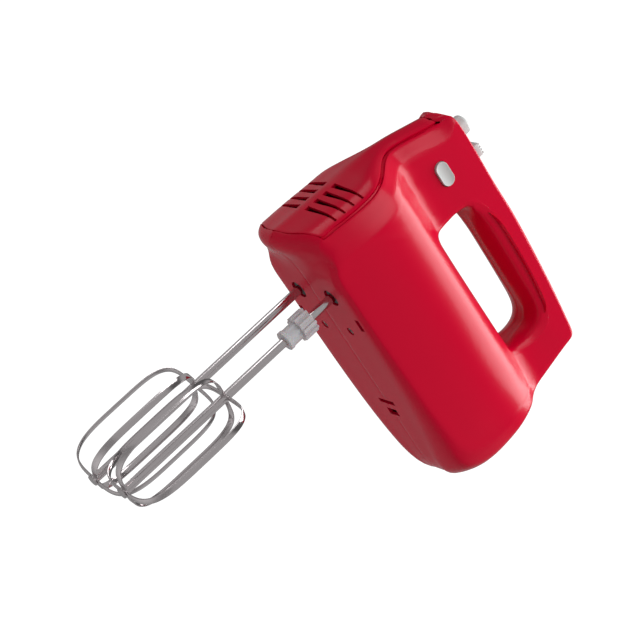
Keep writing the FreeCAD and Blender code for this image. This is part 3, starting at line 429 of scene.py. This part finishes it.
# Each screw sits down a tube that ends in the wall; a ray beside the bore finds the wall.
for y, z in SCREW_SPOTS:
    wall = other.ray_cast(Vector((RAY_START_X, y + RAY_ASIDE, z)) * MM, Vector((-1, 0, 0)))[1]
    reach = -wall.x / MM + BOSS_BITE
    tube = drum(BOSS_RADIUS, reach - BOSS_INNER_X, (-(reach + BOSS_INNER_X) / 2, y, z), "x")
    subtract(tube, drum(SCREW_RADIUS, 60, (BORE_X, y, z), "x"))
    join([other, tube], "right_shell")


def new_material(name):
    """A node material with its shader, and the object's own coordinates."""
    material = bpy.data.materials.new(name)
    material.use_nodes = True
    nodes = material.node_tree.nodes
    where = nodes.new("ShaderNodeTexCoord")
    return material, nodes, material.node_tree.links, nodes["Principled BSDF"], where


def noise(nodes, links, where, scale, detail):
    """A cloudy pattern over these coordinates."""
    pattern = nodes.new("ShaderNodeTexNoise")
    pattern.inputs["Scale"].default_value = scale
    pattern.inputs["Detail"].default_value = detail
    links.new(where, pattern.inputs["Vector"])
    return pattern.outputs["Fac"]


def tint(nodes, links, shader, pattern, dark, light):
    """Let a pattern run the colour from dark to light."""
    tone = nodes.new("ShaderNodeMix")
    tone.data_type = "RGBA"
    tone.inputs["A"].default_value = [*dark, 1]
    tone.inputs["B"].default_value = [*light, 1]
    links.new(pattern, tone.inputs["Factor"])
    links.new(tone.outputs["Result"], shader.inputs["Base Color"])


def roughen(nodes, links, shader, pattern, roughness, spread, depth, distance):
    """Let a pattern make the gloss uneven and raise a fine relief."""
    gloss = nodes.new("ShaderNodeMapRange")
    gloss.inputs["To Min"].default_value = roughness * (1 - spread)
    gloss.inputs["To Max"].default_value = roughness * (1 + spread)
    links.new(pattern, gloss.inputs["Value"])
    links.new(gloss.outputs["Result"], shader.inputs["Roughness"])
    bump = nodes.new("ShaderNodeBump")
    bump.inputs["Strength"].default_value = depth
    bump.inputs["Distance"].default_value = distance
    links.new(pattern, bump.inputs["Height"])
    links.new(bump.outputs["Normal"], shader.inputs["Normal"])


def moulded(name, colour, roughness, grain=900, depth=0.02, variation=0.06, **inputs):
    """Moulded plastic or rubber: faint cloudiness, a fine surface grain and uneven gloss."""
    material, nodes, links, shader, where = new_material(name)
    cloud = noise(nodes, links, where.outputs["Object"], 35, 4)
    tint(nodes, links, shader, cloud, [c * (1 - variation) for c in colour],
         [min(c * (1 + variation), 1) for c in colour])
    fine = noise(nodes, links, where.outputs["Object"], grain, 3)
    roughen(nodes, links, shader, fine, roughness, 0.15, depth, 0.0005)
    for key, value in inputs.items():
        shader.inputs[key.replace("_", " ")].default_value = value
    return material


red = moulded("red_abs", (0.60, 0.0, 0.026), 0.24, depth=0.002, variation=0.03,
              Specular_IOR_Level=0.15)
for piece, node in ((half, "left_housing"), (other, "right_housing")):
    piece.data.materials.clear()
    piece.data.materials.append(red)
    smooth_by_angle(piece)
    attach(piece, "housing")
    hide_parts(node)

# ---- Nose cover -----------------------------------------------------------------------------
# A moulded cover in the same red ABS closes the front. It rests on the halves' ledge inside a
# narrow groove, and four tapering slots on each side of its keel let the motor's air out.

COVER_END_GAP = 0.9
VENTS, VENT_PITCH, LOWEST_VENT = 4, 7, 22.7
VENT_SIZE, VENT_X, VENT_Y = (27, 40, 3.6), 17.5, -36
VENT_TAPER_X, VENT_TAPER = 20, 0.4

cover = laid_grid("nose_cover", NOSE_ROWS, range(GROOVE + 1, RINGS), closed=False)
marks = cover.data.attributes["mark"].data
end_lift = {CHIN_ROW: COVER_END_GAP, BROW_ROW: -COVER_END_GAP}
for vertex in cover.data.vertices:
    vertex.co.z += end_lift.get(marks[vertex.index].value // RINGS, 0) * MM
finish_with(cover, "MIRROR", use_axis=(True, False, False), merge_threshold=0.1 * MM)
sharpen(cover, 1.0, lambda row, ring: ring == RINGS - 1 and row < NOSE_ROWS[4])
swell_to_cage(cover)
finish_with(cover, "SOLIDIFY", thickness=SHELL_WALL * MM, offset=-1)
rounded(cover, EDGE_ROUND, 2, 60)

slots = []
for step in range(VENTS):
    middle = LOWEST_VENT + VENT_PITCH * step
    for side in (1, -1):
        slot = brick(VENT_SIZE, (side * VENT_X, VENT_Y, middle))
        for vertex in slot.data.vertices:
            if abs(vertex.co.x) > VENT_TAPER_X * MM:
                vertex.co.z = middle * MM + (vertex.co.z - middle * MM) * VENT_TAPER
        slots.append(slot)
subtract(cover, *slots)

cover.data.materials.clear()
cover.data.materials.append(red)
smooth_by_angle(cover)
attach(cover, "housing")
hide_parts("front_cover")

# ---- Buttons --------------------------------------------------------------------------------
# The release button, the speed slider and the boost button are moulded in light grey ABS. Each
# slides in its own opening in the housing, and the boost button's face is slightly dished.

RELEASE_RADIUS, RELEASE_LENGTH, RELEASE_Z, RELEASE_ROUND = 6.2, 21.6, 125.8, 2.4
FLANGE_RADIUS, FLANGE_THICK, FLANGE_Z = 8.7, 2, 116
CAP_SIZE, CAP_Z = (12, 8, 5.1), 131.45
STEM_SIZE, STEM_Z = (4, 4.4, 16), 122.8
RIBS, RIB_PITCH, RIB_SIZE, RIB_Z = 4, 2, (12, 1.1, 1.6), 134.0
CAP_ROUND, RIB_ROUND, BOOST_ROUND = 0.6, 0.35, 0.4
BOOST_HALVES, BOOST_LENGTH, BOOST_X = (7.9, 4.3), 7, 12.9
BOOST_RIM, BOOST_DISH = 1.3, 0.6
PLATE_HALVES, PLATE_THICK, PLATE_X = (9.5, 5.7), 1.2, 10

release = drum(RELEASE_RADIUS, RELEASE_LENGTH, (0, EJECT_Y, RELEASE_Z), sides=64)
rounded(release, RELEASE_ROUND, 6)
flange = drum(FLANGE_RADIUS, FLANGE_THICK, (0, EJECT_Y, FLANGE_Z))
release = join([release, flange], "release_button")

cap = rounded(brick(CAP_SIZE, (0, SLIDER_Y, CAP_Z)), CAP_ROUND)
first_rib = SLIDER_Y - (RIBS - 1) * RIB_PITCH / 2
ribs = [rounded(brick(RIB_SIZE, (0, first_rib + RIB_PITCH * rib, RIB_Z)), RIB_ROUND)
        for rib in range(RIBS)]
stem = brick(STEM_SIZE, (0, SLIDER_Y, STEM_Z))
slider = join([cap, stem] + ribs, "speed_knob")

boost = oblong(*BOOST_HALVES, BOOST_LENGTH, (BOOST_X, BOOST_Y, BOOST_Z))
edit_faces(boost, lambda face: face.normal.x > 0.9)
bpy.ops.mesh.inset(thickness=BOOST_RIM * MM)
bpy.ops.transform.translate(value=(-BOOST_DISH * MM, 0, 0))
bpy.ops.object.mode_set(mode="OBJECT")
rounded(boost, BOOST_ROUND, 3, 40)
# A plate behind the housing's wall keeps the button in.
plate = oblong(*PLATE_HALVES, PLATE_THICK, (PLATE_X, BOOST_Y, BOOST_Z))
boost = join([boost, plate], "boost_knob")

light_grey = moulded("light_grey_abs", (0.56, 0.57, 0.56), 0.38, variation=0.02)
for piece, node, body in ((release, "eject_button", "release"), (slider, "speed_slider", "speed"),
                          (boost, "turbo_button", "boost")):
    piece.data.materials.append(light_grey)
    smooth_by_angle(piece)
    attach(piece, body)
    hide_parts(node)

# ---- Release coil ---------------------------------------------------------------------------
# A coil of zinc-plated steel wire under the release button pushes it back up. It stands on the
# guide.

WIRE_RADIUS, COIL_RADIUS, COIL_TURNS = 0.4, 4.1, 6
COIL_FOOT, COIL_RISE = 101.2, 13.0
COIL_STEPS = 144


def drawn_metal(name, colour, roughness, stretch=(600, 600, 12), depth=0.04):
    """Metal with the fine lines that drawing or turning leaves along one way."""
    material, nodes, links, shader, where = new_material(name)
    lines = nodes.new("ShaderNodeMapping")
    lines.inputs["Scale"].default_value = stretch
    links.new(where.outputs["Object"], lines.inputs["Vector"])
    streak = noise(nodes, links, lines.outputs["Vector"], 3, 5)
    tint(nodes, links, shader, streak, [c * 0.8 for c in colour], colour)
    roughen(nodes, links, shader, streak, roughness, 0.3, depth, 0.0002)
    shader.inputs["Metallic"].default_value = 1.0
    return material


deselect()
bpy.ops.mesh.primitive_circle_add(vertices=10, radius=WIRE_RADIUS * MM,
                                  location=(COIL_RADIUS * MM, 0, 0), rotation=(math.pi / 2, 0, 0))
coil = settle(named("release_coil"))
finish_with(coil, "SCREW", axis="Z", angle=COIL_TURNS * 2 * math.pi, screw_offset=COIL_RISE * MM,
            steps=COIL_STEPS, render_steps=COIL_STEPS, use_merge_vertices=False)
edit_all(coil)
bpy.ops.mesh.fill_holes(sides=0)
face_outwards(coil)
coil.location = (0, EJECT_Y * MM, COIL_FOOT * MM)
settle(coil)
zinc_steel = drawn_metal("zinc_steel", (0.62, 0.62, 0.60), 0.32)
coil.data.materials.append(zinc_steel)
smooth_by_angle(coil, 60)

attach(coil, "housing")
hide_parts("eject_spring")
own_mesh(coil)

# ---- Beaters --------------------------------------------------------------------------------
# Each beater is a round shaft that carries two closed loops of polished stainless strip, one
# just inside the other and square to it. The shafts keep the shape of their CAD parts.

LOOP_HALF, LOOP_TOP, LOOP_BOTTOM = 24.4, -83.6, -163.4
TOP_POWER, BOTTOM_POWER = 4.6, 3.7      # the higher, the squarer that end of the loop
STRIP_WIDE, STRIP_THICK, STRIP_ROUND = 4.4, 1.0, 0.3
INNER_LOOP_INSET = 1.1


def loop_outline(inset, count=96):
    """A closed outline (x, z): straight-ish sides that bulge a little into wide corners."""
    middle, reach = (LOOP_TOP + LOOP_BOTTOM) / 2, (LOOP_TOP - LOOP_BOTTOM) / 2 - inset
    outline = []
    for step in range(count):
        angle = 2 * math.pi * step / count
        across, along = math.cos(angle), math.sin(angle)
        power = 2 / (TOP_POWER if along > 0 else BOTTOM_POWER)
        outline.append((math.copysign(abs(across) ** power, across) * (LOOP_HALF - inset),
                        middle + math.copysign(abs(along) ** power, along) * reach))
    return outline


def bent_strip(name, inset, phase, side):
    """One closed loop of flat strip, turned about its shaft."""
    outline = loop_outline(inset)
    deselect()
    bpy.ops.mesh.primitive_cylinder_add(vertices=len(outline), radius=1, depth=STRIP_WIDE * MM,
                                        end_fill_type="NOTHING")
    strip = named(name)
    for vertex in strip.data.vertices:
        step = round(math.atan2(vertex.co.y, vertex.co.x) / (2 * math.pi) * len(outline))
        x, z = outline[step % len(outline)]
        vertex.co = Vector((x * MM, vertex.co.z, z * MM))
    face_outwards(strip)
    finish_with(strip, "SOLIDIFY", thickness=STRIP_THICK * MM, offset=-1, use_even_offset=True)
    rounded(strip, STRIP_ROUND, 2, 50)
    strip.rotation_euler = (0, 0, math.radians(phase))
    strip.location = (side * SOCKET_X * MM, 0, 0)
    return settle(strip)


polished_steel = drawn_metal("polished_steel", (0.70, 0.65, 0.66), 0.13, depth=0.01)
for hand, side, phase in (("left", 1, 20), ("right", -1, 40)):
    for loop, inset, turned in (("outer_loop", 0, phase),
                                ("inner_loop", INNER_LOOP_INSET, phase + 90)):
        strip = bent_strip("%s_%s" % (hand, loop), inset, turned, side)
        strip.data.materials.append(polished_steel)
        smooth_by_angle(strip)
        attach(strip, hand + "_beater")
        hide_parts("%s_beater_%s" % (hand, loop))

# ---- Finishes of the CAD parts --------------------------------------------------------------
# The collar, the shafts and everything inside keep the shape of their CAD part. Each gets the
# finish of its own material: plastic and rubber moulded, metal drawn, wound or stacked.

FINISHES = {
    "white_plastic": light_grey,
    "red_plastic": red,
    "collar_plastic": moulded("milky_collar", (0.60, 0.55, 0.57), 0.38, variation=0.03,
                              Subsurface_Weight=0.15),
    "bright_steel": polished_steel,
    "plain_steel": zinc_steel,
    "nylon": moulded("nylon", (0.05, 0.05, 0.05), 0.45),
    "black_plastic": moulded("black_plastic", (0.03, 0.03, 0.032), 0.45),
    "iron_stack": drawn_metal("laminated_iron", (0.42, 0.42, 0.43), 0.4, (8, 900, 8), 0.3),
    "copper_wire": drawn_metal("enamelled_copper", (0.72, 0.33, 0.14), 0.3, (8, 700, 8), 0.4),
    "bearing_bronze": drawn_metal("sintered_bronze", (0.56, 0.40, 0.22), 0.42, (300, 300, 300)),
    "brass_tube": drawn_metal("brass", (0.78, 0.60, 0.27), 0.28),
    "carbon": moulded("carbon", (0.02, 0.02, 0.02), 0.6, depth=0.1),
    "circuit_board": moulded("circuit_board", (0.02, 0.16, 0.06), 0.5, 300, 0.05, 0.3),
    "grommet_rubber": moulded("grommet_rubber", (0.025, 0.025, 0.027), 0.6, depth=0.08),
}
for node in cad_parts.values():
    for slot in node.material_slots:
        key = slot.material.name.split(".")[0] if slot.material else ""
        if key in FINISHES:
            slot.material = FINISHES[key]

# ---- Floor ----------------------------------------------------------------------------------
# A wide plain sheet of white paper lies well below the mixer.

FLOOR_SIZE, FLOOR_Z = 60, -1.5
deselect()
bpy.ops.mesh.primitive_plane_add(size=FLOOR_SIZE, location=(0, 0, FLOOR_Z))
floor = named("floor")
paper = bpy.data.materials.new("white_floor")
paper.use_nodes = True
paper.node_tree.nodes["Principled BSDF"].inputs["Base Color"].default_value = (0.92, 0.92, 0.92, 1)
floor.data.materials.append(paper)

# ---- Camera ---------------------------------------------------------------------------------
# A long lens looks up at the mixer from below its left side, rolled so that the body leans to
# the right. Its frame is shifted a little, so the mixer stands off the middle.

AZIMUTH, ELEVATION, ROLL = math.radians(63.0), math.radians(-18.7), math.radians(47.09)
DISTANCE = 1.5
LENS, SENSOR = 148.5, 36
SHIFT_ACROSS, SHIFT_UP = 0.0078125, -0.04078125
toward = Vector((math.sin(AZIMUTH) * math.cos(ELEVATION), -math.cos(AZIMUTH) * math.cos(ELEVATION),
                 math.sin(ELEVATION)))
right = Vector((math.cos(AZIMUTH), math.sin(AZIMUTH), 0))
up = toward.cross(right)
camera_data = bpy.data.cameras.new("camera")
camera = bpy.data.objects.new("camera", camera_data)
bpy.context.scene.collection.objects.link(camera)
turn = Matrix((right, up, toward)).transposed()
turn = turn @ Matrix.Rotation(ROLL, 3, "Z")
camera.matrix_world = Matrix.Translation(toward * DISTANCE) @ turn.to_4x4()
camera_data.sensor_width = SENSOR
camera_data.lens = LENS
camera_data.clip_end = FLOOR_SIZE
camera_data.shift_x = SHIFT_ACROSS
camera_data.shift_y = SHIFT_UP
bpy.context.scene.camera = camera

# ---- Light ----------------------------------------------------------------------------------
# Three square soft boxes stand round the mixer. The room is white where the camera sees it, and
# a dim grey gradient by height where the steel and the plastic mirror it.

# (share of the way from the bottom of the room to the top, grey)
GREY_BY_HEIGHT = [(0.40, 0.16), (0.53, 1.0), (0.68, 1.0), (0.72, 0.25), (0.84, 0.3), (0.9, 1.0)]
SEEN_WHITE = (2.5, 2.5, 2.5, 1)
ROOM_STRENGTH = 0.45

world = bpy.data.worlds.new("studio")
bpy.context.scene.world = world
world.use_nodes = True
tree = world.node_tree
place = tree.nodes.new("ShaderNodeTexCoord")
parts = tree.nodes.new("ShaderNodeSeparateXYZ")
ramp = tree.nodes.new("ShaderNodeValToRGB")
elements = ramp.color_ramp.elements
for stop, (at, tone) in enumerate(GREY_BY_HEIGHT):
    element = elements[stop] if stop < len(elements) else elements.new(at)
    element.position, element.color = at, (tone, tone, tone, 1)
half_up = tree.nodes.new("ShaderNodeMath")
half_up.operation = "MULTIPLY_ADD"
half_up.inputs[1].default_value = half_up.inputs[2].default_value = 0.5
tree.links.new(place.outputs["Generated"], parts.inputs[0])
tree.links.new(parts.outputs["Z"], half_up.inputs[0])
tree.links.new(half_up.outputs[0], ramp.inputs[0])
seen = tree.nodes.new("ShaderNodeLightPath")
choose = tree.nodes.new("ShaderNodeMix")
choose.data_type = "RGBA"
choose.inputs["B"].default_value = SEEN_WHITE
tree.links.new(seen.outputs["Is Camera Ray"], choose.inputs["Factor"])
tree.links.new(ramp.outputs["Color"], choose.inputs["A"])
tree.links.new(choose.outputs["Result"], tree.nodes["Background"].inputs["Color"])
tree.nodes["Background"].inputs["Strength"].default_value = ROOM_STRENGTH
bpy.context.scene.view_settings.view_transform = "Standard"


def soft_box(name, place, size, power):
    """A square studio light that faces the object."""
    data = bpy.data.lights.new(name, "AREA")
    data.shape = "SQUARE"
    data.size = size
    data.energy = power
    lamp = bpy.data.objects.new(name, data)
    bpy.context.scene.collection.objects.link(lamp)
    place = Vector(place)
    facing = place.to_track_quat("Z", "Y").to_matrix().to_4x4()
    lamp.matrix_world = Matrix.Translation(place) @ facing


soft_box("key_light", (1.1, -0.1, 1.0), 0.9, 11)
soft_box("top_light", (0.2, 0.7, 1.3), 1.1, 22)
soft_box("front_light", (-0.2, -1.5, 0.7), 0.6, 4)
